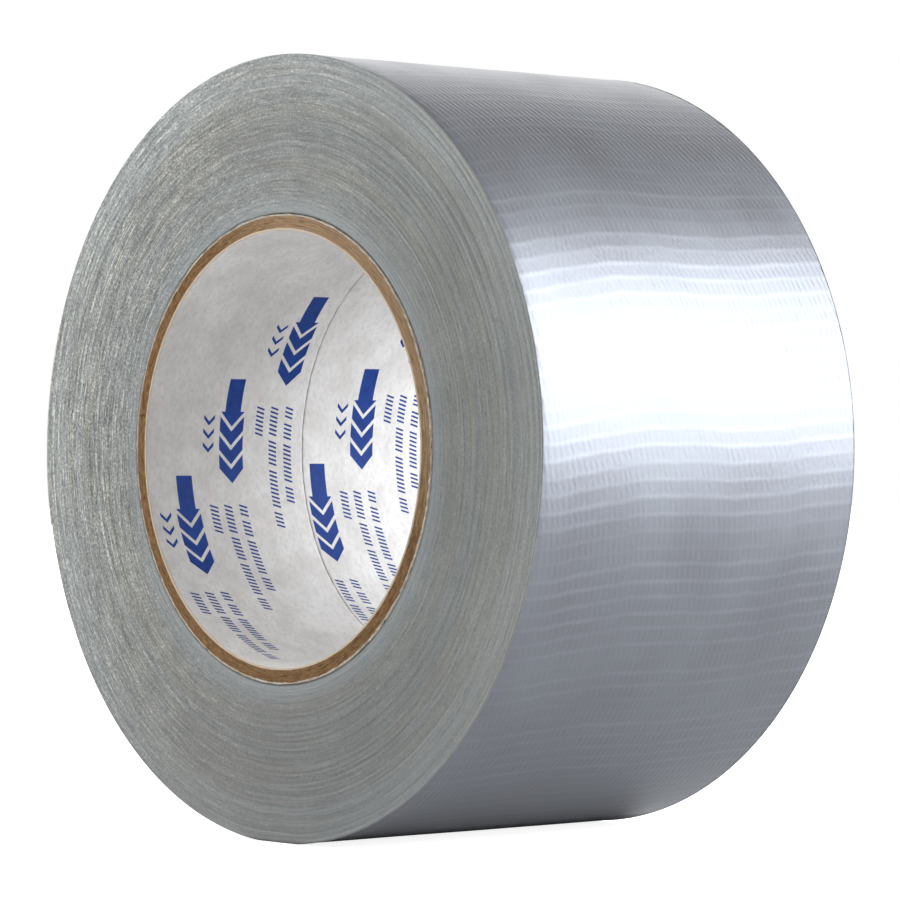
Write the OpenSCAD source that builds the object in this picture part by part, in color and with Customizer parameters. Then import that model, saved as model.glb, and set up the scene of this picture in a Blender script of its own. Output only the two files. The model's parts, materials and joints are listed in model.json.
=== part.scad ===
// Roll of wide duct tape on a paper core, standing on its rim.
// The roll's axis lies along Y, with the printed core's front edge at -Y and +Z up.
// The origin is the centre of the core's bore, at the middle of the tape's width.

/* [Roll] */
// Diameter over the outermost turn
roll_d = 137.5; // [120:0.5:160]
// Width of the tape, which is also the length of the core
tape_w = 73; // [48:0.5:100]
// Width of the flat that the soft turns take up where the roll stands
rest_flat_w = 11; // [6:1:20]

/* [Core] */
// Inside diameter of the core, a nominal 3 inch bore
core_bore_d = 76.2; // [70:0.1:80]
// Thickness of the white printed lining paper
lining_t = 0.4; // [0.2:0.05:0.5]
// Width of the open seam between the two lining strips
lining_seam = 0.3; // [0.2:0.1:1]
// Thickness of each of the four brown kraft plies
kraft_ply_t = 0.525; // [0.4:0.025:0.6]
// Thickness of the cream paper ply that the tape is stuck to
cover_ply_t = 0.3; // [0.2:0.05:0.5]

/* [Tape layers] */
// Thickness of the silver polyethylene film
film_t = 0.06; // [0.04:0.01:0.12]
// Thickness of the woven cloth under the film
cloth_t = 0.05; // [0.04:0.01:0.12]
// Pitch of the fine warp yarns, which run along the tape
warp_pitch = 1.3; // [0.8:0.1:3]
// Width of a warp yarn
warp_w = 0.5; // [0.2:0.1:0.7]
// Pitch of the flat weft yarns, which run across the tape
weft_pitch = 2.9; // [2:0.1:6]
// Width of a weft yarn
weft_w = 0.7; // [0.3:0.1:1.5]
// Thickness of the rubber adhesive under the cloth
adhesive_t = 0.06; // [0.04:0.01:0.12]

/* [Lead end] */
// Length of the loose end of the tape, from its peel line to the cut
lead_l = 38; // [20:1:60]
// Angle of the peel line round the roll, from +X towards +Z
lead_start = 160; // [120:1:200]
// Air gap under the loose end at the peel line
lead_gap = 0.05; // [0.05:0.05:0.3]
// Height that the cut edge stands above the turn below it
lead_lift = 0.5; // [0.2:0.1:2]

/* [Hidden] */
$fn = 180;

roll_r = roll_d / 2;
core_bore_r = core_bore_d / 2;
kraft_r = core_bore_r + lining_t;
cover_r = kraft_r + 4 * kraft_ply_t;
core_r = cover_r + cover_ply_t;
lining_w = (tape_w - lining_seam) / 2;

// Radii between the layers of the outermost turn, and how far its flat is pressed in
film_r = roll_r - film_t;
cloth_r = film_r - cloth_t;
turns_r = cloth_r - adhesive_t;
flat_depth = roll_r - sqrt(pow(roll_r, 2) - pow(rest_flat_w / 2, 2));

// The loose end is an arc of a slightly larger circle, so that it leaves the roll gradually.
// Its centre is lead_offset behind the roll's own axis, seen from the peel line.
lead_arc = lead_l / roll_r * 180 / PI;
lead_offset = (lead_lift - lead_gap) / (1 - cos(lead_arc));
lead_r = roll_r + lead_offset + lead_gap;
reach = 2 * roll_r;

// The cloth is a layer of warp yarns with a layer of weft yarns laid over it
yarn_t = cloth_t / 2;
warp_count = floor(tape_w / warp_pitch);
weft_count = floor(lead_l / weft_pitch);
weft_step = lead_arc / weft_count;
weft_arc = lead_arc * weft_w / lead_l;

// Stands a front view, drawn in X and Z, across the width from y0 to y1
module across(y0, y1) {
    rotate([90, 0, 0])
        translate([0, 0, -y1])
            linear_extrude(height = y1 - y0)
                children();
}

// Round outline of one turn, pressed flat where the roll stands
module turn_outline(r) {
    intersection() {
        circle(r);
        translate([-r, -(r - flat_depth)])
            square([2 * r, 2 * r]);
    }
}

// Round tube of the core, over the whole width
module core_tube(r_in, r_out, y0 = -tape_w / 2, y1 = tape_w / 2) {
    across(y0, y1)
        difference() {
            circle(r_out);
            circle(r_in);
        }
}

// One full layer of the outermost turn
module turn_layer(r_in, r_out) {
    across(-tape_w / 2, tape_w / 2)
        difference() {
            turn_outline(r_out);
            turn_outline(r_in);
        }
}

// Part of the loose end, lift above the underside of its adhesive. It runs from y0 to y1 across
// the tape, and from angle a0 to a1 along it, counted from the peel line.
module lead_layer(lift, thickness, y0 = -tape_w / 2, y1 = tape_w / 2, a0 = 0, a1 = lead_arc) {
    across(y0, y1)
        rotate(lead_start)
            intersection() {
                translate([-lead_offset, 0])
                    difference() {
                        circle(lead_r + lift + thickness);
                        circle(lead_r + lift);
                    }
                polygon([
                    [0, 0],
                    reach * [cos(a0), sin(a0)],
                    reach * [cos(a1), sin(a1)]
                ]);
            }
}

module lining_front() {
    color("whitesmoke")
        core_tube(core_bore_r, kraft_r, y1 = -tape_w / 2 + lining_w);
}

module lining_rear() {
    color("whitesmoke")
        core_tube(core_bore_r, kraft_r, y0 = tape_w / 2 - lining_w);
}

// Kraft plies, counted from the bore outwards
module kraft_ply(number) {
    color("peru")
        core_tube(kraft_r + (number - 1) * kraft_ply_t, kraft_r + number * kraft_ply_t);
}

module cover_ply() {
    color("wheat")
        core_tube(cover_r, core_r);
}

// All the turns under the outermost one, as one body
module wound_turns() {
    color("darkgray")
        across(-tape_w / 2, tape_w / 2)
            difference() {
                turn_outline(turns_r);
                circle(core_r);
            }
}

module outer_turn_adhesive() {
    color("lightgray")
        turn_layer(turns_r, cloth_r);
}

module outer_turn_cloth() {
    color("ivory")
        turn_layer(cloth_r, film_r);
}

module outer_turn_film() {
    color("silver")
        turn_layer(film_r, roll_r);
}

module lead_adhesive() {
    color("lightgray")
        lead_layer(0, adhesive_t);
}

module lead_warp_yarns() {
    color("ivory")
        for (i = [0 : warp_count - 1]) {
            middle = (i - (warp_count - 1) / 2) * warp_pitch;
            lead_layer(adhesive_t, yarn_t, y0 = middle - warp_w / 2, y1 = middle + warp_w / 2);
        }
}

module lead_weft_yarns() {
    color("ivory")
        for (i = [0 : weft_count - 1]) {
            middle = (i + 0.5) * weft_step;
            lead_layer(adhesive_t + yarn_t, yarn_t, a0 = middle - weft_arc / 2, a1 = middle + weft_arc / 2);
        }
}

module lead_film() {
    color("silver")
        lead_layer(adhesive_t + cloth_t, film_t);
}

lining_front();
lining_rear();
kraft_ply(1);  // kraft_ply_1
kraft_ply(2);  // kraft_ply_2
kraft_ply(3);  // kraft_ply_3
kraft_ply(4);  // kraft_ply_4
cover_ply();
wound_turns();
outer_turn_adhesive();
outer_turn_cloth();
outer_turn_film();
lead_adhesive();
lead_warp_yarns();
lead_weft_yarns();
lead_film();
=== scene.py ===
"""A standing roll of wide silver cloth tape: its looks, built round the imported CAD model."""

import json
import math

import bpy
import numpy as np
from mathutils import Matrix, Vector


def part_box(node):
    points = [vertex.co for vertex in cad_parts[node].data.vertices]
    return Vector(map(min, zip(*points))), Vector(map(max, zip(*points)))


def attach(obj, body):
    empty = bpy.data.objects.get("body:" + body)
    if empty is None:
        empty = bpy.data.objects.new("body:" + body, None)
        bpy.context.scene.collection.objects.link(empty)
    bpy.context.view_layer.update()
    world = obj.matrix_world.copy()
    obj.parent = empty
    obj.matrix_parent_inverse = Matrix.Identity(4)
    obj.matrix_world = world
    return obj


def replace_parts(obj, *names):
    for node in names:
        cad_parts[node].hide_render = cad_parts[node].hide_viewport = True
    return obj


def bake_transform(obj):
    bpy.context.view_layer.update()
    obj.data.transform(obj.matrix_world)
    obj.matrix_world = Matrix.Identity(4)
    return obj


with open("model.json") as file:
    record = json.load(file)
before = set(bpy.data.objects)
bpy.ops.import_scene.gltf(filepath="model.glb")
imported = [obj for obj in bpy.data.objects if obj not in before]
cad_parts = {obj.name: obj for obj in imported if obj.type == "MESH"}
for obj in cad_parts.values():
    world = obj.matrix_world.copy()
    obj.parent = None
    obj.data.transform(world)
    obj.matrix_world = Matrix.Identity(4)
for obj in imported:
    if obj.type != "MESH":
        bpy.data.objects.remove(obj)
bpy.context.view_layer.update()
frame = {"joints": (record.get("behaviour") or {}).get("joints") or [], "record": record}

# ---------------------------------------------------------------- sizes, in metres and radians
MM = 0.001
SEED = 11

mounts = {m["name"]: m for m in frame["record"]["mounts"]}
joint = frame["joints"][0]

BORE_R = mounts["core_bore"]["dims"]["r_mm"] * MM
HALF_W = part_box("outer_turn_film")[1].y
ROLL_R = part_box("outer_turn_film")[1].x
FLOOR_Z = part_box("outer_turn_film")[0].z
LINING_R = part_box("lining_front")[1].x
COVER_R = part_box("kraft_ply_4")[1].x
CORE_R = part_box("cover_ply")[1].x
SEAM_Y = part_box("lining_rear")[0].y

TAPE_T = 0.17 * MM                                   # film, cloth and adhesive together
TURNS_R = ROLL_R - TAPE_T                            # under the outermost turn
TURNS = round((TURNS_R - CORE_R) / (0.1745 * MM))    # turns under it, about that far apart
PITCH = (TURNS_R - CORE_R) / TURNS
FLAT_DEPTH = ROLL_R + FLOOR_Z                        # how far the rim is pressed flat where it stands
FILM_SINK = 0.05 * MM                                # keeps the film's ridges inside the CAD roll

WARP = 1.26 * MM                                     # pitch of the yarns along the tape
WEFT = 2.9 * MM                                      # pitch of the yarns across it

hinge = Vector(joint["pos_m"])
PEEL = math.atan2(hinge.z, hinge.x)                  # angle of the peel line, from +X towards +Z
lead_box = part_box("lead_film")
LEAD_LIFT = 0.5 * MM                                 # how far the CAD model holds the cut end off
LEAD_ARC = math.pi + math.asin(-lead_box[0].z / (ROLL_R + LEAD_LIFT)) - PEEL
END_LIFT = 0.15 * MM                                 # how far the stuck-down end stands off at its cut


# ---------------------------------------------------------------- mesh helpers
def mesh_piece(name, vertices, faces, material, smooth=True, attributes=None):
    """A mesh object from arrays of points and quads, with named point attributes."""
    data = bpy.data.meshes.new(name)
    data.from_pydata(np.asarray(vertices).tolist(), [], np.asarray(faces).tolist())
    for key, values in (attributes or {}).items():
        values = np.asarray(values, np.float32)
        kind, field = ("FLOAT", "value") if values.ndim == 1 else ("FLOAT_VECTOR", "vector")
        data.attributes.new(key, kind, "POINT").data.foreach_set(field, values.ravel())
    data.polygons.foreach_set("use_smooth", np.full(len(data.polygons), smooth))
    data.update()
    piece = bpy.data.objects.new(name, data)
    bpy.context.scene.collection.objects.link(piece)
    piece.data.materials.append(material)
    return piece


def grid_faces(rows, columns, first=0):
    """Quads over a rows by columns grid of points."""
    index = first + np.arange(rows * columns).reshape(rows, columns)
    a, b, c, d = index[:-1, :-1], index[1:, :-1], index[1:, 1:], index[:-1, 1:]
    return np.stack([a, b, c, d], -1).reshape(-1, 4)


def tube_faces(rows, columns, first=0, closed=False):
    """Quads over a grid of points in which the last column joins the first. With closed, the last
    row joins the first too."""
    index = first + np.arange(rows * columns).reshape(rows, columns)
    if closed:
        index = np.vstack([index, index[:1]])
    index = np.hstack([index, index[:, :1]])
    return np.stack([index[:-1, :-1], index[1:, :-1], index[1:, 1:], index[:-1, 1:]], -1).reshape(-1, 4)


def bar_caps(count, first):
    """The two end faces of a four-sided bar with count rings of points."""
    start, end = first + np.arange(4), first + 4 * (count - 1) + np.arange(4)
    return np.array([start, end[::-1]])


def cylinder_points(angle, radius, y):
    """Points from an angle round the roll, from +X towards +Z, a radius and a place across."""
    angle, radius, y = np.broadcast_arrays(angle, radius, y)
    return np.stack([radius * np.cos(angle), y, radius * np.sin(angle)], -1)


def pressed(points):
    """The points moved as the roll's weight presses them: the rim is flat where it stands."""
    points = np.array(points, float)
    radius = np.hypot(points[..., 0], points[..., 2])
    share = np.clip((radius - CORE_R) / (ROLL_R - CORE_R), 0, None) ** 2
    lowest = -(radius - FLAT_DEPTH * share)
    points[..., 2] = np.maximum(points[..., 2], lowest)
    return points


def waves(seed, angle, strength, harmonics):
    """A smooth random function of an angle that closes on itself, about 1 high."""
    rng = np.random.default_rng(seed)
    total = np.zeros_like(angle)
    for h in harmonics:
        total += rng.normal() * np.sin(h * angle + rng.uniform(0, 2 * math.pi))
    return strength * total / math.sqrt(len(harmonics) / 2)


# ---------------------------------------------------------------- material helpers
class Graph:
    """A node tree, with short calls for the nodes used here."""

    def __init__(self, tree):
        self.nodes, self.links = tree.nodes, tree.links

    def node(self, kind, *inputs, **settings):
        made = self.nodes.new("ShaderNode" + kind)
        for key, value in settings.items():
            setattr(made, key, value)
        for socket, value in zip(made.inputs, inputs):
            self.put(socket, value)
        return made

    def put(self, socket, value):
        if value is None:
            return
        if isinstance(value, bpy.types.NodeSocket):
            self.links.new(value, socket)
        else:
            socket.default_value = value

    def math(self, operation, *values, clamp=False):
        return self.node("Math", *values, operation=operation, use_clamp=clamp).outputs[0]

    def place(self):
        """The point's place in the roll's own frame."""
        return self.node("TexCoord").outputs["Object"]

    def attribute(self, name):
        return self.node("Attribute", attribute_name=name).outputs["Vector"]

    def scaled(self, vector, scale):
        return self.node("VectorMath", vector, scale, operation="MULTIPLY").outputs[0]

    def wound(self, around, outward, along=0.0):
        """Coordinates that follow the winding: around counts cells to a radian round the axis,
        outward counts cells to a metre of radius, and along to a metre of width."""
        x, y, z = self.node("SeparateXYZ", self.place()).outputs
        radius = self.radius()
        shift = self.math("MULTIPLY", radius, outward)
        across = self.math("MULTIPLY", y, along)
        join = self.node(
            "CombineXYZ",
            self.math("MULTIPLY", self.math("DIVIDE", x, radius), around),
            self.math("ADD", shift, across),
            self.math("MULTIPLY", self.math("DIVIDE", z, radius), around),
        )
        return join.outputs[0]

    def radius(self):
        """The point's distance from the roll's axis."""
        x, _, z = self.node("SeparateXYZ", self.place()).outputs
        squares = self.math("ADD", self.math("MULTIPLY", x, x), self.math("MULTIPLY", z, z))
        return self.math("SQRT", squares)

    def noise(self, vector, scale=1.0, detail=2.0, roughness=0.5):
        made = self.node("TexNoise")
        self.put(made.inputs["Vector"], vector)
        self.put(made.inputs["Scale"], scale)
        self.put(made.inputs["Detail"], detail)
        self.put(made.inputs["Roughness"], roughness)
        return made.outputs["Fac"]

    def ramp(self, factor, *stops):
        """A colour ramp. Each stop is a place from 0 to 1 and a grey or a colour."""
        made = self.node("ValToRGB", factor)
        elements = made.color_ramp.elements
        while len(elements) < len(stops):
            elements.new(0.5)
        for element, (place, colour) in zip(elements, stops):
            element.position = place
            grey = isinstance(colour, (int, float))
            element.color = (colour, colour, colour, 1) if grey else (*colour, 1)
        return made.outputs["Color"]

    def mix(self, factor, a, b, blend="MIX"):
        made = self.node("Mix", data_type="RGBA", blend_type=blend)
        self.put(made.inputs["Factor"], factor)
        self.put(made.inputs[6], a if isinstance(a, bpy.types.NodeSocket) else (*a, 1))
        self.put(made.inputs[7], b if isinstance(b, bpy.types.NodeSocket) else (*b, 1))
        return made.outputs[2]

    def span(self, value, low, high, to_low=0.0, to_high=1.0):
        """The value mapped from low..high to to_low..to_high, and held there beyond."""
        return self.node("MapRange", value, low, high, to_low, to_high).outputs[0]

    def bump(self, height, distance, strength=1.0, normal=None):
        made = self.node("Bump")
        self.put(made.inputs["Strength"], strength)
        self.put(made.inputs["Distance"], distance)
        self.put(made.inputs["Height"], height)
        self.put(made.inputs["Normal"], normal)
        return made.outputs["Normal"]


class Surface(Graph):
    """A material's node tree, built round its own shader."""

    def __init__(self, name, **sockets):
        self.material = bpy.data.materials.new(name)
        self.material.use_nodes = True
        super().__init__(self.material.node_tree)
        self.shader = self.nodes["Principled BSDF"]
        for key, value in sockets.items():
            self.shader.inputs[key.replace("_", " ")].default_value = value

    def finish(self, colour, roughness=None, normal=None):
        self.put(self.shader.inputs["Base Color"], colour)
        self.put(self.shader.inputs["Roughness"], roughness)
        self.put(self.shader.inputs["Normal"], normal)
        return self.material


# ---------------------------------------------------------------- materials
def turn_edges_material():
    """Slit edges of the turns: grey film and cloth ends, streaked along the winding."""
    g = Surface("turn_edges", Specular_IOR_Level=0.25)
    beads = g.noise(g.wound(105, 3300), detail=1.5, roughness=0.6)
    long = g.noise(g.wound(12, 2600), detail=2.0, roughness=0.6)
    bands = g.noise(g.wound(1.1, 330), detail=2.0, roughness=0.6)
    cloud = g.noise(g.place(), 75, 3.0, 0.6)
    specks = g.noise(g.place(), 2600, 1.0, 0.5)
    tone = g.math("MULTIPLY_ADD", beads, 0.42, g.math("MULTIPLY", long, 0.38))
    tone = g.math("MULTIPLY_ADD", g.node("Attribute", attribute_name="tone").outputs["Fac"], 0.20, tone)
    tone = g.math("MULTIPLY_ADD", g.math("SUBTRACT", specks, 0.5), 0.28, tone)
    # Streaks tuned to the photo: stronger at the upper left than on the right, a painted contrast of light
    # and shade where the light falls across the turns
    x, _, z = g.node("SeparateXYZ", g.place()).outputs
    lean = g.math("MULTIPLY_ADD", z, -0.35, x)
    painted_light_contrast = g.span(lean, -0.75 * ROLL_R, 0.35 * ROLL_R, 1.15, 0.40)
    tone = g.math("MULTIPLY_ADD", g.math("SUBTRACT", tone, 0.5), painted_light_contrast, 0.5)
    colour = g.ramp(
        tone,
        (0.32, (0.100, 0.107, 0.104)),
        (0.45, (0.205, 0.215, 0.208)),
        (0.55, (0.300, 0.310, 0.296)),
        (0.68, (0.560, 0.570, 0.530)),
    )
    tint = g.ramp(bands, (0.36, (0.97, 1.0, 1.03)), (0.5, (1.0, 1.0, 0.99)), (0.64, (1.03, 1.0, 0.95)))
    colour = g.mix(0.8, colour, tint, "MULTIPLY")
    colour = g.mix(g.span(cloud, 0.42, 0.72, 0.0, 0.30), colour, (0.170, 0.174, 0.173))
    # Brightness tuned to the photo, partly the turns' own tone and partly painted light and shade: darker
    # low down, paler on the left and on the outer turns, a little darker on the inner turns at the top,
    # and a painted contact shadow, near black, where the roll stands
    low = g.span(z, -0.95 * ROLL_R, -0.35 * ROLL_R, 0.73, 1.0)
    left = g.span(x, -0.95 * ROLL_R, -0.10 * ROLL_R, 1.34, 1.06)
    outer = g.span(g.radius(), 0.80 * ROLL_R, 0.94 * ROLL_R, 0.93, 1.08)
    contact = g.span(z, FLOOR_Z + 0.1 * MM, FLOOR_Z + 0.9 * MM, 0.10, 1.0)
    bright = g.math("MULTIPLY", g.math("MULTIPLY", low, left), g.math("MULTIPLY", outer, contact))
    top = g.span(z, 0.45 * ROLL_R, 0.75 * ROLL_R)
    inner_top = g.math("MULTIPLY", top, g.span(g.radius(), 0.84 * ROLL_R, 0.94 * ROLL_R, 1.0, 0.0))
    bright = g.math("MULTIPLY", bright, g.span(inner_top, 0.0, 1.0, 1.0, 0.87))
    colour = g.mix(1.0, colour, bright, "MULTIPLY")
    # Painted shade low down: a greyer tone towards the bottom
    colour = g.mix(g.span(low, 0.8, 1.0, 0.25, 0.0), colour, (0.150, 0.147, 0.152))
    # Hue tuned to the photo: the first turns on the core are bluish, and the last few cooler
    inward = g.span(g.radius(), CORE_R + 0.8 * MM, CORE_R + 4.0 * MM, 1.0, 0.0)
    outward = g.span(g.radius(), ROLL_R - 8 * MM, ROLL_R - 5.5 * MM)
    inward, outward = g.math("MULTIPLY", inward, 0.85), g.math("MULTIPLY", outward, 0.3)
    cool = g.math("MAXIMUM", inward, outward, clamp=True)
    colour = g.mix(cool, colour, g.mix(0.5, colour, (0.295, 0.325, 0.350)))
    # A painted shade line where the first turn meets the core, as in the photo, strongest on the left
    join = g.span(g.radius(), CORE_R + 0.22 * MM, CORE_R + 0.55 * MM, 1.0, 0.0)
    join = g.math("MULTIPLY", join, g.span(x, -0.6 * CORE_R, 0.1 * CORE_R, 0.85, 0.25))
    colour = g.mix(join, colour, (0.075, 0.083, 0.074))
    normal = g.bump(tone, 0.14 * MM, 0.6)
    return g.finish(colour, g.span(long, 0.3, 0.7, 0.55, 0.75), normal)


def film_material(name, cell):
    """Silver film: dark glossy plastic full of fine metal flake, with the cloth showing through.
    cell is the attribute that holds the place along and across the tape, in metres."""
    g = Surface(name, Specular_IOR_Level=0.5)
    along, across, ridge = g.node("SeparateXYZ", g.attribute(cell)).outputs
    at = g.node("CombineXYZ", along, across).outputs[0]
    # Film bulges between the yarns in rows of slanted beads
    wander = g.math("MULTIPLY", g.noise(at, 220, 2.0), 1.1 * MM)
    slant = g.math("MULTIPLY", along, 0.3 * WARP / WEFT)
    strayed = g.math("ADD", g.math("ADD", across, wander), slant)
    warp = g.math("SINE", g.math("MULTIPLY", strayed, 2 * math.pi / WARP))
    weft = g.math("COSINE", g.math("MULTIPLY", along, 2 * math.pi / WEFT))
    rows = g.span(weft, -1.0, 1.0, 1.0, 0.40)
    patches = g.noise(at, 560, 3.0, 0.65)
    knit = g.math("MULTIPLY", g.math("MULTIPLY", warp, rows), g.span(patches, 0.34, 0.66, 0.10, 1.0))
    cloud = g.noise(at, 60, 3.0, 0.55)
    grain = g.noise(at, 4200, 2.0, 0.6)
    colour = g.ramp(cloud, (0.3, (0.183, 0.187, 0.206)), (0.7, (0.207, 0.217, 0.237)))
    # Painted highlights along the weft ridges, beaded along the warp
    painted_ridge_highlight = g.math("MULTIPLY", g.span(ridge, 0.25, 1.0, 0.0, 0.62), g.span(warp, -1.0, 1.0, 0.6, 1.0))
    colour = g.mix(painted_ridge_highlight, colour, (0.275, 0.287, 0.313))
    colour = g.mix(g.span(knit, 0.2, 1.0, 0.0, 0.06), colour, (0.30, 0.31, 0.335))
    colour = g.mix(g.span(grain, 0.5, 0.8, 0.0, 0.25), colour, (0.28, 0.29, 0.315))
    # Tuned to the photo: painted shade, a little darker low down, and a painted contact shadow, near
    # black, where the roll stands, which is also made matt there
    _, _, z = g.node("SeparateXYZ", g.place()).outputs
    above = g.span(z, FLOOR_Z + 0.4 * MM, FLOOR_Z + 2.6 * MM)
    colour = g.mix(1.0, colour, g.span(z, FLOOR_Z, 0.55 * FLOOR_Z, 0.90, 1.0), "MULTIPLY")
    colour = g.mix(above, (0.006, 0.006, 0.007), colour)
    g.put(g.shader.inputs["Metallic"], g.math("MULTIPLY", above, 0.7))
    rough = g.math("MULTIPLY_ADD", grain, 0.12, g.span(cloud, 0.3, 0.7, 0.25, 0.33))
    rough = g.math("MULTIPLY_ADD", g.math("SUBTRACT", 1.0, above), 0.6, rough)
    normal = g.bump(knit, 0.030 * MM, 0.9)
    normal = g.bump(grain, 0.006 * MM, 0.5, normal)
    return g.finish(colour, rough, normal)


def adhesive_material():
    """Milky rubber adhesive with the cloth's grid showing through it."""
    g = Surface("adhesive", Specular_IOR_Level=0.6, Coat_Weight=0.3, Coat_Roughness=0.15)
    along, across, _ = g.node("SeparateXYZ", g.attribute("tape")).outputs
    at = g.node("CombineXYZ", along, across).outputs[0]
    warp = g.math("SINE", g.math("MULTIPLY", across, 2 * math.pi / WARP))
    weft = g.math("SINE", g.math("MULTIPLY", along, 2 * math.pi / WEFT))
    yarn = g.math("MAXIMUM", g.span(warp, 0.45, 0.8), g.span(weft, 0.6, 0.85))
    cloud = g.noise(at, 300, 3.0, 0.6)
    colour = g.ramp(cloud, (0.3, (0.50, 0.50, 0.47)), (0.7, (0.60, 0.60, 0.575)))
    colour = g.mix(g.math("MULTIPLY", yarn, 0.7), colour, (0.78, 0.77, 0.73))
    normal = g.bump(g.math("MULTIPLY_ADD", cloud, 0.5, yarn), 0.03 * MM, 0.6)
    return g.finish(colour, g.span(cloud, 0.3, 0.7, 0.35, 0.5), normal)


def yarn_material():
    """Off-white spun yarn."""
    g = Surface("yarn", Specular_IOR_Level=0.2, Sheen_Weight=0.3)
    strands = g.noise(g.scaled(g.place(), (9000, 2500, 9000)), 1.0, 2.0)
    colour = g.ramp(strands, (0.3, (0.60, 0.58, 0.53)), (0.7, (0.82, 0.80, 0.75)))
    return g.finish(colour, 0.85, g.bump(strands, 0.02 * MM, 0.6))


def kraft_material():
    """Brown kraft board: the cut ends of the plies, fibrous along the winding."""
    g = Surface("kraft", Specular_IOR_Level=0.15)
    fibres = g.noise(g.wound(30, 3600, 900), detail=3.0, roughness=0.65)
    patches = g.noise(g.place(), 420, 3.0, 0.6)
    flecks = g.noise(g.place(), 1900, 2.0, 0.6)
    colour = g.ramp(
        fibres,
        (0.28, (0.100, 0.050, 0.020)),
        (0.50, (0.170, 0.094, 0.040)),
        (0.74, (0.275, 0.162, 0.078)),
    )
    colour = g.mix(g.span(patches, 0.40, 0.66, 0.0, 0.5), colour, (0.235, 0.136, 0.064))
    # Painted light, tuned to the photo: paler towards the top right
    x, _, z = g.node("SeparateXYZ", g.place()).outputs
    upper = g.span(g.math("ADD", x, z), 0.018, 0.045, 0.0, 0.6)
    colour = g.mix(upper, colour, (0.36, 0.25, 0.155))
    colour = g.mix(g.span(flecks, 0.62, 0.74, 0.0, 0.6), colour, (0.40, 0.29, 0.18))
    normal = g.bump(g.math("MULTIPLY_ADD", flecks, 0.6, fibres), 0.10 * MM, 0.6)
    return g.finish(colour, 0.88, normal)


def cover_material():
    """Cream paper ply under the tape, with coarse fibres at its cut ends."""
    g = Surface("cover_ply", Specular_IOR_Level=0.15)
    fibres = g.noise(g.wound(42, 2600, 700), detail=3.0, roughness=0.65)
    colour = g.ramp(
        fibres,
        (0.3, (0.36, 0.29, 0.22)),
        (0.5, (0.50, 0.44, 0.37)),
        (0.7, (0.64, 0.59, 0.52)),
    )
    return g.finish(colour, 0.9, g.bump(fibres, 0.08 * MM, 0.6))


def lining_material():
    """White printed lining paper: faint grey pulp clouds and a light tooth."""
    g = Surface("lining", Specular_IOR_Level=0.25)
    cloud = g.noise(g.place(), 160, 4.0, 0.6)
    pulp = g.noise(g.scaled(g.place(), (900, 1300, 900)), 1.0, 3.0, 0.65)
    tooth = g.noise(g.place(), 4200, 2.0, 0.6)
    colour = g.ramp(cloud, (0.36, (0.578, 0.560, 0.540)), (0.64, (0.678, 0.665, 0.648)))
    colour = g.mix(g.span(pulp, 0.46, 0.70, 0.0, 0.5), colour, (0.45, 0.43, 0.415))
    colour = g.mix(g.span(tooth, 0.58, 0.78, 0.0, 0.3), colour, (0.80, 0.79, 0.775))
    # Painted shade, tuned to the photo: greyer on the left near the front
    x, y, _ = g.node("SeparateXYZ", g.place()).outputs
    pale = g.math("MAXIMUM", g.span(x, -BORE_R, -0.55 * BORE_R), g.span(y, -0.8 * HALF_W, 0.1 * HALF_W))
    colour = g.mix(1.0, colour, g.span(pale, 0.0, 1.0, 0.79, 1.03), "MULTIPLY")
    # The raw edges at the ends and at the seam are a little browner
    inset = g.math("SUBTRACT", HALF_W, g.math("ABSOLUTE", y))
    colour = g.mix(g.span(inset, 0.04 * MM, 0.30 * MM, 0.9, 0.0), colour, (0.46, 0.36, 0.255))
    normal = g.bump(g.math("MULTIPLY_ADD", pulp, 0.6, tooth), 0.03 * MM, 0.5)
    return g.finish(colour, 0.72, normal)


def ink_material():
    """Blue printing ink, a little thin where the paper's tooth shows through."""
    g = Surface("blue_ink", Specular_IOR_Level=0.12)
    tooth = g.noise(g.place(), 3600, 2.0, 0.6)
    cloud = g.noise(g.place(), 500, 2.0)
    colour = g.ramp(cloud, (0.3, (0.007, 0.030, 0.175)), (0.7, (0.011, 0.045, 0.225)))
    colour = g.mix(g.span(tooth, 0.62, 0.78, 0.0, 0.5), colour, (0.07, 0.12, 0.33))
    return g.finish(colour, g.span(cloud, 0.3, 0.7, 0.5, 0.62), g.bump(tooth, 0.02 * MM, 0.4))


# ---------------------------------------------------------------- the slit edges of the turns
STATIONS = 480        # points round one turn
GROOVE = 0.045 * MM   # depth between two turns
SLIP_TURN = 105       # the first of a run of turns that stands proud
SLIP_ANGLE = math.radians(58)


def spiral_radius(turn):
    """Radius of the underside of the tape, turn turns after its start on the core."""
    return CORE_R + PITCH * turn


def complex_normal(rng, shape):
    return rng.normal(size=shape) + 1j * rng.normal(size=shape)


def winding_field(seed, angular, radial, slope):
    """Random values, one row a turn and one column a station, smooth round the roll. angular is
    the most waves in a turn, slope is where they start to fade, and radial is how many turns the
    values are blurred over."""
    rng = np.random.default_rng(seed)
    rows = TURNS + 3
    harmonics = np.arange(STATIONS // 2 + 1)
    weight = np.where((harmonics > 0) & (harmonics <= angular), 1 / (1 + harmonics / slope), 0)
    spectrum = complex_normal(rng, (rows, len(weight))) * weight
    field = np.fft.irfft(spectrum, STATIONS, axis=1)
    field += rng.normal(size=(rows, 1)) * field.std()
    if radial:
        reach = np.arange(-3 * radial, 3 * radial + 1)
        kernel = np.exp(-0.5 * (reach / radial) ** 2)
        padded = np.pad(field, ((len(reach) // 2,) * 2, (0, 0)), mode="reflect")
        field = sum(k * padded[i : i + rows] for i, k in enumerate(kernel))
    return (field - field.mean()) / field.std()


def on_spiral(field, step):
    """The field's value at each step of the spiral, sliding from one turn's row to the next."""
    turn, station = np.divmod(step, STATIONS)
    share = station / STATIONS
    return (1 - share) * field[turn, station] + share * field[turn + 1, station]


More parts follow.
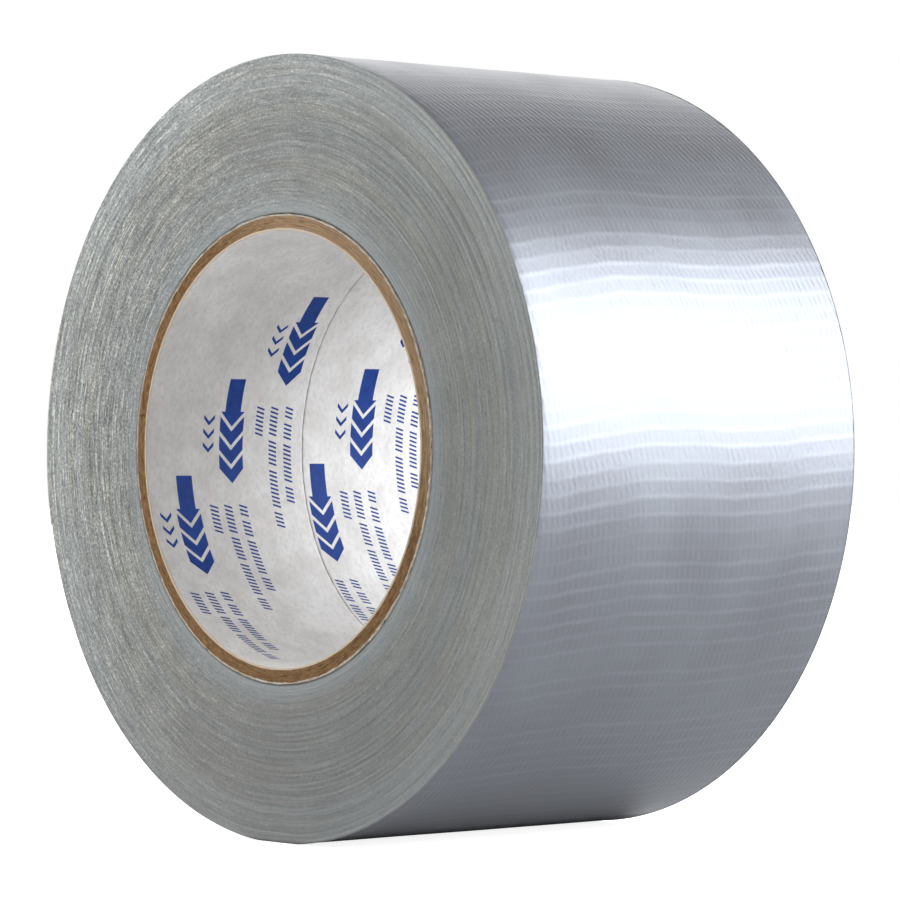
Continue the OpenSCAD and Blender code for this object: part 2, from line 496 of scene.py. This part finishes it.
def turn_edges(name, side, first, last, material):
    """The edges of turns first to last on one side of the roll, as one ridge along the spiral."""
    seed = SEED + 10 * side
    lean = winding_field(seed + 1, 5, 9, 2.0)       # whole bands that lean out or in
    slip = winding_field(seed + 2, 14, 1, 5.0)      # neighbouring turns that slipped together
    wobble = winding_field(seed + 3, 40, 0, 12.0)   # each turn's own wander
    shade = winding_field(seed + 4, 90, 0, 30.0)
    step = np.arange(first * STATIONS, (last + 1) * STATIONS + 1)
    crest = step[: (last - first) * STATIONS + 1]

    def depth(at):
        """How far the edge lies inside the face of the roll at each step, in metres."""
        rise = 0.055 * on_spiral(lean, at) + 0.040 * on_spiral(slip, at) + 0.022 * on_spiral(wobble, at)
        turn = at / STATIONS
        angle = PEEL + 2 * math.pi * turn
        # One run of turns slipped outwards over part of the way round
        window = np.clip(np.cos(angle - SLIP_ANGLE), 0, 1) ** 4
        rise = rise + 0.15 * window * (turn > SLIP_TURN) * np.exp(-(turn - SLIP_TURN) / 14)
        rise = rise * (0.74 + 0.26 * np.cos(angle - PEEL))    # calmer away from the loose end
        # The first turns lie deeper, least of all round angle 0, and the last few are flush
        sunk = (0.38 - 0.22 * np.cos(angle)) * np.exp(-((turn / 2.2) ** 2))
        flush = 1 - 0.85 * np.exp(-(((TURNS - turn) / 3.0) ** 2))
        return np.clip(0.19 - rise + sunk, 0, 0.9) * flush * MM

    def points(at, share, extra):
        angle = PEEL + 2 * math.pi * at / STATIONS
        radius = spiral_radius(at / STATIONS + share)
        return cylinder_points(angle, radius, side * (HALF_W - depth(at) - extra))

    valley = points(step, 0.0, GROOVE)
    top = points(crest, 0.3, 0.0)
    n = len(step)
    a = np.arange(len(crest) - 1)
    low, high, up = a, a + n, a + STATIONS
    inner = np.stack([low, low + 1, high + 1, high], -1)
    outer = np.stack([high, high + 1, up + 1, up], -1)
    faces = np.vstack([inner, outer])
    if side < 0:
        faces = faces[:, ::-1]
    # shade holds a random tone for each turn; the valleys between turns are painted darker and the crests
    # lighter, a painted shade in the grooves
    shades = np.concatenate([on_spiral(shade, step) - 0.5, on_spiral(shade, crest) + 0.3])
    tone = np.clip(0.5 + 0.19 * shades, 0, 1)
    return mesh_piece(name, pressed(np.vstack([valley, top])), faces, material, False, {"tone": tone})


# ---------------------------------------------------------------- the film and the loose end
def bowed(along, across):
    """The place along the tape, in metres, measured along the bowed weft yarns. The first three
    terms of bow, in millimetres, were fitted to the yarns of the photo, and the rest is wander."""
    share = across / HALF_W
    drift = np.sin((along + 0.194) / 0.041)
    bow = 1.87 * share - (0.63 + 0.60 * drift) * share ** 2 - 0.63 * np.sin(2 * math.pi * across / 0.050)
    bow += 0.09 * np.sin(2 * math.pi * across / 0.0128 + 23 * along) + 0.1 * np.sin(3 * along / WEFT)
    bow += 0.06 * np.sin(2 * math.pi * across / 0.0067 + 140 * along)
    return along - bow * MM


def film_relief(along, across):
    """Height of the film over the cloth, in metres, and how much of a weft yarn's ridge is there.
    Weft yarns lift the film in soft wavy ridges, and the turns below leave slow swells. along and
    across are places on the tape, in metres."""
    place = bowed(along, across) / WEFT
    ridge = (0.5 + 0.5 * np.cos(2 * math.pi * place)) ** 3
    heights = np.random.default_rng(SEED + 50).uniform(0.45, 1.15, 400)
    strength = heights[np.floor(place + 0.5).astype(int) % len(heights)]
    strength = strength * (0.85 + 0.15 * np.sin(2 * math.pi * across / 0.019 + 40 * along))
    swell = np.sin(2 * math.pi * along / 0.043 + 3 * np.sin(2 * math.pi * across / 0.11))
    shift = 2 * np.sin(2 * math.pi * across / 0.05) + 1
    swell = swell + 0.6 * np.sin(2 * math.pi * along / 0.0171 + shift)
    return (0.018 * strength * ridge + 0.011 * swell) * MM, strength * ridge


def across_places(count, fine):
    """Places across the tape, closer together near both edges, with one more just inside each."""
    even = np.linspace(-1, 1, count - 2)
    places = HALF_W * ((1 - fine) * even + fine * np.sin(even * math.pi / 2))
    return np.sort(np.concatenate([places, places[[0, -1]] + np.array([0.03, -0.03]) * MM]))


def edge_drop(across, angle):
    """How far the film is rolled over at its slit edges: clearly at the front, most of all round
    angle 0, and hardly at the rear."""
    front = np.exp(-(HALF_W + across) / (1.0 * MM))
    rear = np.exp(-(HALF_W - across) / (0.40 * MM))
    return ((0.13 + 0.11 * np.cos(angle)) * front + 0.02 * rear) * MM


def tape_places(along, across, ridge):
    """What the film's material reads at each point: the places along the bowed weave and across the
    tape, in metres, and how much a weft yarn lifts the film there."""
    return np.stack(np.broadcast_arrays(bowed(along, across), across, ridge), -1)


def outermost_turn(film_stuff, edge_stuff):
    """The film of the outermost turn, from under the loose end once round to the peel line, and the
    slit edges of that turn."""
    tuck = math.radians(4)                 # how far it runs on under the loose end
    rows, columns = 1560, 58
    turn_angle = np.linspace(-2 * math.pi - tuck, 0, rows)[:, None]
    across = across_places(columns, 0.45)[None, :]
    along = ROLL_R * turn_angle
    relief, ridge = film_relief(along, across)
    radius = ROLL_R + PITCH * turn_angle / (2 * math.pi)
    radius = radius + relief - FILM_SINK - edge_drop(across, PEEL + turn_angle)
    points = cylinder_points(PEEL + turn_angle, radius, across).reshape(-1, 3)
    tape = tape_places(along, across, ridge).reshape(-1, 3)
    faces = grid_faces(rows, columns)[:, ::-1]
    film = mesh_piece("outermost_film", pressed(points), faces, film_stuff, attributes={"tape": tape})
    rng = np.random.default_rng(SEED + 55)
    points, faces = [], []
    for column, side in ((0, -1), (-1, 1)):
        edge = np.stack([radius[:, column], radius[:, column] - 0.9 * TAPE_T], 1)
        y = side * np.array([HALF_W, HALF_W - 0.02 * MM])[None, :]
        faces.append(grid_faces(rows, 2, first=2 * rows * len(points))[:, ::side])
        points.append(cylinder_points(PEEL + turn_angle, edge, y).reshape(-1, 3))
    tone = {"tone": np.repeat(rng.uniform(0.35, 0.75, 2 * rows), 2)}
    points, faces = pressed(np.vstack(points)), np.vstack(faces)
    return film, mesh_piece("outermost_edges", points, faces, edge_stuff, False, tone)


def end_lift(share):
    """How far the loose end stands off the roll, at a share of its length from the peel line."""
    return END_LIFT * share ** 1.7


def lead_surface(rows, columns, over):
    """Points of the loose end on one of its faces, and their places along and across the tape.
    over is the height above its underside."""
    share = np.linspace(0, 1, rows)[:, None]
    across = across_places(columns, 0.4)[None, :]
    angle = LEAD_ARC * share
    along = ROLL_R * angle
    ragged = 0.10 * MM * waves(SEED + 60, across / HALF_W * math.pi, 1.0, range(5, 40)) * share ** 8
    relief, ridge = film_relief(along, across)
    radius = TURNS_R + end_lift(share) + over + relief - FILM_SINK - edge_drop(across, PEEL + angle)
    points = cylinder_points(PEEL + angle + ragged / ROLL_R, radius, across)
    return points, tape_places(along, across, ridge)


def lead_skin(name, material, over, edge_to):
    """One face of the loose end, with three of its edges, both sides and the cut end, turned towards the
    other face.
    """
    rows, columns = 112, 210
    face, tape = lead_surface(rows, columns, over)
    rim, rim_tape = lead_surface(rows, columns, edge_to)
    points = np.concatenate([rim[:, :1], face, rim[:, -1:]], 1)
    places = np.concatenate([rim_tape[:, :1], tape, rim_tape[:, -1:]], 1)
    end = np.concatenate([rim[-1:, :1], rim[-1:], rim[-1:, -1:]], 1)
    end_places = np.concatenate([rim_tape[-1:, :1], rim_tape[-1:], rim_tape[-1:, -1:]], 1)
    points, places = np.concatenate([points, end]), np.concatenate([places, end_places])
    faces = grid_faces(rows + 1, columns + 2)
    if over > edge_to:
        faces = faces[:, ::-1]
    tape = {"tape": places.reshape(-1, 3)}
    return mesh_piece(name, points.reshape(-1, 3), faces, material, attributes=tape)


YARN_T = 0.03 * MM        # thickness of every yarn
YARN_HALF = 0.19 * MM     # half the width of a yarn along the tape
WEFT_HALF = 0.35 * MM     # half the width of a flat yarn across it
WARP_UNDER = 0.025 * MM   # height of the underside of the yarns along the tape
WEFT_UNDER = 0.055 * MM   # and of those across it


def lead_yarns(name, material, count, along_tape):
    """Flat yarns of the loose end. Those along the tape stick out a little at the cut."""
    rng = np.random.default_rng(SEED + (70 if along_tape else 71))
    rings = 60
    corners = np.array([-1, 1, 1, -1])
    points, faces = [], []
    for i in range(count):
        if along_tape:
            share = np.linspace(0.02, 1 + rng.uniform(0.002, 0.018), rings)
            angle = LEAD_ARC * share
            centre = (i - (count - 1) / 2) * WARP
            y = centre + 0.12 * MM * np.sin(3 * share + rng.uniform(0, 6)) + rng.normal(0, 0.05 * MM)
            angles = np.stack([angle] * 4, 1)
            ys = y[:, None] + corners * YARN_HALF
            under = WARP_UNDER
            lift = end_lift(share)
        else:
            share = (i + 0.5) / count
            y = np.linspace(-HALF_W, HALF_W, rings)
            angle = LEAD_ARC * share + 0.0008 * np.sin(y / HALF_W * 4 + i)
            angles = angle[:, None] + corners * WEFT_HALF / ROLL_R
            ys = np.stack([y] * 4, 1)
            under = WEFT_UNDER
            lift = np.full(rings, end_lift(share))
        radius = TURNS_R + lift[:, None] + under + np.array([0, 0, 1, 1]) * YARN_T
        first = 4 * rings * i
        points.append(cylinder_points(PEEL + angles, radius, ys).reshape(-1, 3))
        faces += [tube_faces(rings, 4, first), bar_caps(rings, first)]
    return mesh_piece(name, np.vstack(points), np.vstack(faces), material)


# ---------------------------------------------------------------- the core
def ring_solid(name, profile, material, wander, seed, angular=360):
    """A closed ring round the axis. profile is a closed outline of (radius, y) points, and wander
    says how far each may stray in y and in radius, as the ends of a cut paper tube do."""
    angle = np.linspace(0, 2 * math.pi, angular, endpoint=False)[:, None]
    profile = np.array(profile, float)
    radius = np.repeat(profile[None, :, 0], angular, 0)
    y = np.repeat(profile[None, :, 1], angular, 0)
    wander = np.array(wander)
    rough = [waves(seed + i, angle[:, 0], 1.0, range(3, 90, 3)) for i in range(len(profile))]
    rough = np.stack(rough, 1)
    y = y - np.sign(y) * np.abs(rough) * wander[:, 0]
    radius = radius + rough * wander[:, 1]
    points = cylinder_points(angle, radius, y).reshape(-1, 3)
    faces = tube_faces(angular, len(profile), closed=True)[:, [0, 3, 2, 1]]
    return mesh_piece(name, points, faces, material)


def ply(name, r_in, r_out, y_low, y_high, material, seed, rough, stray, bevel=0.05 * MM):
    """One paper ply of the core, as a closed ring with rough cut ends."""
    steps = [0.0, 0.25, 0.5, 0.75, 1.0]
    low = [(r_in + bevel + (r_out - r_in - 2 * bevel) * s, y_low) for s in steps]
    high = [(r, y_high) for r, _ in reversed(low)]
    inset = np.array([bevel, 0.5 * MM, 2.5 * MM])
    wall_y = np.concatenate([y_low + inset, y_high - inset[::-1]])
    outer = [(r_out, y) for y in wall_y]
    inner = [(r_in, y) for y in reversed(wall_y)]
    profile = low + outer + high + inner
    near_end = [(rough, stray * (s in (0.0, 1.0))) for s in steps]
    side = [(0.5 * rough, stray)] + [(0, 0)] * (len(wall_y) - 2) + [(0.5 * rough, stray)]
    return ring_solid(name, profile, material, near_end + side + near_end + side, seed)


# ---------------------------------------------------------------- the marks printed on the lining
# Each mark lies in its own frame, in millimetres: u along the print, round the bore, and v towards
# the rear edge. A band is a stretch of u with its low and high v at each of a few places.
def chevron(u, v, arm, width):
    """Two bands that make an arrowhead pointing along u. arm is half its height."""
    places = sorted({0.0, width, arm, arm + width})
    half = [(u + p, max(0.0, p - width), min(arm, p)) for p in places]
    return [
        [(p, v + low, v + high) for p, low, high in half],
        [(p, v + 2 * arm - high, v + 2 * arm - low) for p, low, high in half],
    ]


def bar(u, v, length, height):
    return [[(u, v, v + height), (u + length, v, v + height)]]


def arrowhead(u, v, length, height):
    middle = v + height / 2
    return [[(u, v, v + height), (u + length, middle - 0.02, middle + 0.02)]]


def hatch(u, v, length, height, gaps):
    """A strip of short slanting strokes, with a gap after each count of strokes in gaps."""
    stroke, pitch, slant = 0.36, 0.80, 0.50
    bands, at = [], u
    groups = iter(gaps)
    left = next(groups)
    while at + stroke + slant <= u + length:
        rise = height * stroke / slant
        bands.append([
            (at, v, v + 0.01),
            (at + stroke, v, v + rise),
            (at + slant, v + height - rise, v + height),
            (at + stroke + slant, v + height - 0.01, v + height),
        ])
        at += pitch
        left -= 1
        if left == 0:
            at += pitch * 0.9
            left = next(groups, math.inf)
    return bands


def mark():
    """One printed block: an arrow with two chevrons, three small chevrons, and three hatched strips."""
    bands = bar(0, 0.95, 6.2, 3.6) + arrowhead(6.2, 0, 2.75, 5.5)
    for i in range(3):
        bands += chevron(7.1 + 3.5 * i, 0, 2.75, 2.6)
    for i in range(3):
        bands += chevron(6.8 + 2.5 * i, -3.8, 1.25, 0.75)
    bands += hatch(23.4, 3.6, 18.8, 1.8, (3, 4, 9))
    bands += hatch(23.4, 0.1, 23.3, 1.8, (7, 6, 9))
    bands += hatch(23.4, -3.2, 5.7, 1.8, (9,))
    return bands


PRINT_START = math.radians(100)    # the angle that the places of the marks are counted from


def lining_marks(name, material, places, v_low, v_high, repeats=2):
    """The printed marks on one lining strip, as a thin coat of ink. places holds the u and v of each
    mark, in millimetres round the bore from PRINT_START and from the front edge. The marks come
    repeats times round the bore, and are cut off below v_low and above v_high."""
    thick = 0.012 * MM
    points, faces = [], []
    around = 2 * math.pi * BORE_R / MM
    for u0, v0 in places:
        for repeat in range(repeats):
            for band in mark():
                shape = np.array(band)
                shape[:, 1:] = np.clip(shape[:, 1:] + v0, v_low, v_high)
                if (shape[:, 2] - shape[:, 1]).max() < 0.03:
                    continue
                count = max(2, int(np.ptp(shape[:, 0]) / 0.45) + 1)
                u = np.union1d(np.linspace(shape[0, 0], shape[-1, 0], count), shape[:, 0])
                low, high = (np.interp(u, shape[:, 0], shape[:, k]) for k in (1, 2))
                angle = PRINT_START + (u + u0 + repeat * around / repeats) * MM / BORE_R
                y = np.stack([low, high, high, low], 1) * MM - HALF_W
                radius = BORE_R + np.array([-1, -1, 1, 1]) * thick
                ring = cylinder_points(angle[:, None], radius, y)
                first = sum(len(p) for p in points)
                points.append(ring.reshape(-1, 3))
                faces += [tube_faces(len(u), 4, first)[:, ::-1], bar_caps(len(u), first)]
    return mesh_piece(name, np.vstack(points), np.vstack(faces), material, False)


# ---------------------------------------------------------------- the pieces
turn_edge_stuff = turn_edges_material()
film_stuff = film_material("silver_film", "tape")
kraft_stuff = kraft_material()
lining_stuff = lining_material()
ink_stuff = ink_material()
yarn_stuff = yarn_material()

half_way = TURNS // 2
for side_name, side in (("front", -1), ("rear", 1)):
    for part_name, first, last in (("inner", 0, half_way), ("outer", half_way, TURNS)):
        piece = turn_edges(f"turn_edges_{side_name}_{part_name}", side, first, last, turn_edge_stuff)
        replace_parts(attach(piece, "roll"), "wound_turns")

film, edges = outermost_turn(film_stuff, turn_edge_stuff)
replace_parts(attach(film, "roll"), "outer_turn_film")
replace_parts(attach(edges, "roll"), "outer_turn_cloth", "outer_turn_adhesive")

# The loose end stands off the roll more and more towards its cut end
lead_top = lead_skin("loose_end_film", film_stuff, TAPE_T, TAPE_T - 0.06 * MM)
lead_under = lead_skin("loose_end_adhesive", adhesive_material(), 0.0, 0.08 * MM)
lead_pieces = (
    (lead_top, "lead_film", "silver_film"),
    (lead_under, "lead_adhesive", "rubber_adhesive"),
    (lead_yarns("loose_end_warp_yarns", yarn_stuff, 56, True), "lead_warp_yarns", "cloth"),
    (lead_yarns("loose_end_weft_yarns", yarn_stuff, 13, False), "lead_weft_yarns", "cloth"),
)
for piece, node, slot in lead_pieces:
    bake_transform(piece)
    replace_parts(piece, node)

front_end = SEAM_Y - 0.3 * MM    # leaves the gap that shows as the seam
# Each row is a name, its CAD node, inner and outer radius, low and high y, material, and how far the
# ends stray along the axis and outwards, in millimetres
plies = [
    ("lining_front_strip", "lining_front", BORE_R, LINING_R, -HALF_W, front_end, lining_stuff, 0.05, 0.02),
    ("lining_rear_strip", "lining_rear", BORE_R, LINING_R, SEAM_Y, HALF_W, lining_stuff, 0.05, 0.02),
    ("cover_paper_ply", "cover_ply", COVER_R, CORE_R, -HALF_W, HALF_W, cover_material(), 0.16, 0.05),
]
kraft_plies = 4
ply_t = (COVER_R - LINING_R) / kraft_plies
for i in range(kraft_plies):
    r_in = LINING_R + i * ply_t
    names = f"kraft_board_ply_{i + 1}", f"kraft_ply_{i + 1}"
    plies.append((*names, r_in, r_in + ply_t, -HALF_W, HALF_W, kraft_stuff, 0.12, 0.02))
for i, (name, node, r_in, r_out, y_low, y_high, stuff, rough, stray) in enumerate(plies):
    piece = ply(name, r_in, r_out, y_low, y_high, stuff, SEED + 100 + 20 * i, rough * MM, stray * MM)
    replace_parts(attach(piece, "roll"), node)

# Where each strip's marks lie, and the edges they are cut off at, in millimetres
middle = (SEAM_Y + HALF_W) / MM
front_marks = [(21.6, 28.3), (39.9, 16.8), (57.9, 5.7)]
rear_marks = [(19.0, 59.2), (37.4, 48.1), (55.7, 37.2)]
for name, marks, v_low, v_high in (
    ("lining_print_front", front_marks, 0.3, middle - 0.7),
    ("lining_print_rear", rear_marks, middle + 0.3, 2 * HALF_W / MM - 0.3),
):
    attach(lining_marks(name, ink_stuff, marks, v_low, v_high), "roll")


# ---------------------------------------------------------------- stage, lights and camera
def area_light(name, direction, distance, width, height, radiance, colour=(1, 1, 1)):
    """A soft box that faces the roll."""
    direction = Vector(direction).normalized()
    data = bpy.data.lights.new(name, "AREA")
    data.shape, data.size, data.size_y = "RECTANGLE", width, height
    data.energy = radiance * math.pi * width * height
    data.color = colour
    light = bpy.data.objects.new(name, data)
    light.location = direction * distance
    light.rotation_euler = direction.to_track_quat("Z", "Y").to_euler()
    bpy.context.scene.collection.objects.link(light)
    return light


def floor_material():
    """Pale floor, lifted to the white of the photo's background for the camera only."""
    g = Surface("floor", Specular_IOR_Level=0.2, Emission_Color=(1, 1, 1, 1))
    cloud = g.noise(g.place(), 3.0, 2.0)
    seen = g.node("LightPath").outputs["Is Camera Ray"]
    g.put(g.shader.inputs["Emission Strength"], g.math("MULTIPLY", seen, 0.86))
    return g.finish(g.ramp(cloud, (0.3, 0.73), (0.7, 0.77)), 0.9)


def disc(name, radius, z, material):
    """A level disc about the origin, with its rings closer together near the middle."""
    sides = 96
    rings = np.concatenate([[0.0], np.geomspace(0.05, radius, 40)])[:, None]
    angle = np.linspace(0, 2 * math.pi, sides, endpoint=False)[None, :]
    points = np.stack(np.broadcast_arrays(rings * np.cos(angle), rings * np.sin(angle), z), -1)
    return mesh_piece(name, points.reshape(-1, 3), tube_faces(len(rings), sides), material)


disc("floor", 6.0, FLOOR_Z, floor_material())


def studio_world():
    """White to the camera. To the roll, a bright wall behind, with a glow high up on its right, and
    dimmer in front and overhead."""
    world = bpy.data.worlds.new("studio")
    world.use_nodes = True
    g = Graph(world.node_tree)
    direction = g.node("TexCoord").outputs["Generated"]
    _, y, z = g.node("SeparateXYZ", direction).outputs
    by_height = g.ramp(z, (0.0, 0.9), (0.52, 0.85), (0.62, 0.32), (0.72, 0.15), (1.0, 0.16))
    wall = g.mix(g.span(y, -0.3, 0.3), (1.1, 1.1, 1.1), (2.0, 2.0, 2.0))
    colour = g.mix(1.0, by_height, wall, "MULTIPLY")
    glow = g.node("VectorMath", direction, (0.36, 0.66, 0.66), operation="DOT_PRODUCT").outputs["Value"]
    colour = g.mix(g.span(glow, 0.88, 1.0), colour, (0.5, 0.5, 0.5), "ADD")
    seen = g.node("LightPath").outputs["Is Camera Ray"]
    g.put(g.nodes["Background"].inputs["Color"], g.mix(seen, colour, (1.0, 1.0, 1.0)))
    return world


bpy.context.scene.world = studio_world()
area_light("back_softbox", (0.765, 0.575, 0.33), 0.60, 0.48, 0.49, 5.6, (0.95, 1.0, 1.07))
area_light("front_left", (-0.30, -0.16, 0.17), 0.383, 0.30, 0.30, 6.0)

# The camera was solved from the rims and the core in the photo
camera_data = bpy.data.cameras.new("camera")
camera_data.sensor_width, camera_data.lens = 36, 164.12
camera_data.clip_start, camera_data.clip_end = 0.05, 50
camera = bpy.data.objects.new("camera", camera_data)
bpy.context.scene.collection.objects.link(camera)
azimuth, elevation = math.radians(48.907), math.radians(-0.229)
level = Vector((math.sin(azimuth), -math.cos(azimuth), 0))
back = level * math.cos(elevation) + Vector((0, 0, math.sin(elevation)))
right = Vector((math.cos(azimuth), math.sin(azimuth), 0))
up = back.cross(right)
camera.location = 0.738222 * back + 0.002561 * right - 0.000062 * up
camera.rotation_euler = back.to_track_quat("Z", "Y").to_euler()
bpy.context.scene.camera = camera
bpy.context.scene.view_settings.view_transform = "Standard"
